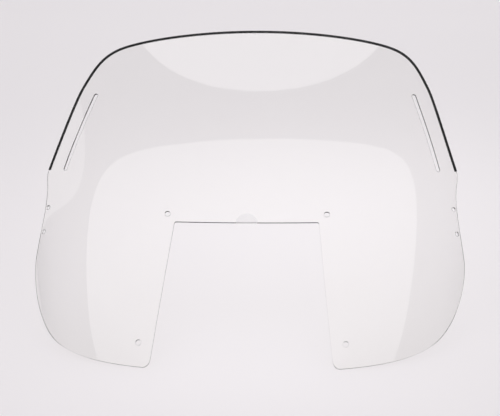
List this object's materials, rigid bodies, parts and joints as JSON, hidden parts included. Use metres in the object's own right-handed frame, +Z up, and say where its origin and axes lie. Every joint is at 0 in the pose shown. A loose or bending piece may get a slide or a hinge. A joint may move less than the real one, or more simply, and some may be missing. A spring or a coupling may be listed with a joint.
{
  "type": "motorcycle windshield screen",
  "caption": "Clear formed windshield screen with a bottom cut-out between two legs, vent slots, fixing holes and a slim black edge trim; bolts to brackets to shield a rider from wind.",
  "frame": {"origin": "middle of the part's footprint in X and Y, at the level of the lowest point of its feet in Z", "axes": "+X across the machine, -Y towards the oncoming air and +Y towards the rider, +Z up; the screen leans back as it is mounted"},
  "size_m": [0.66, 0.4484, 0.4124],
  "materials": {
    "clear_sheet": "polished, fully transparent polycarbonate",
    "black_trim": "satin black extruded vinyl",
    "adhesive": "cured clear acrylic bond"
  },
  "bodies": {
    "root": {"screen": "clear_sheet", "edge_trim": "black_trim", "trim_adhesive": "adhesive"}
  },
  "joints": []
}
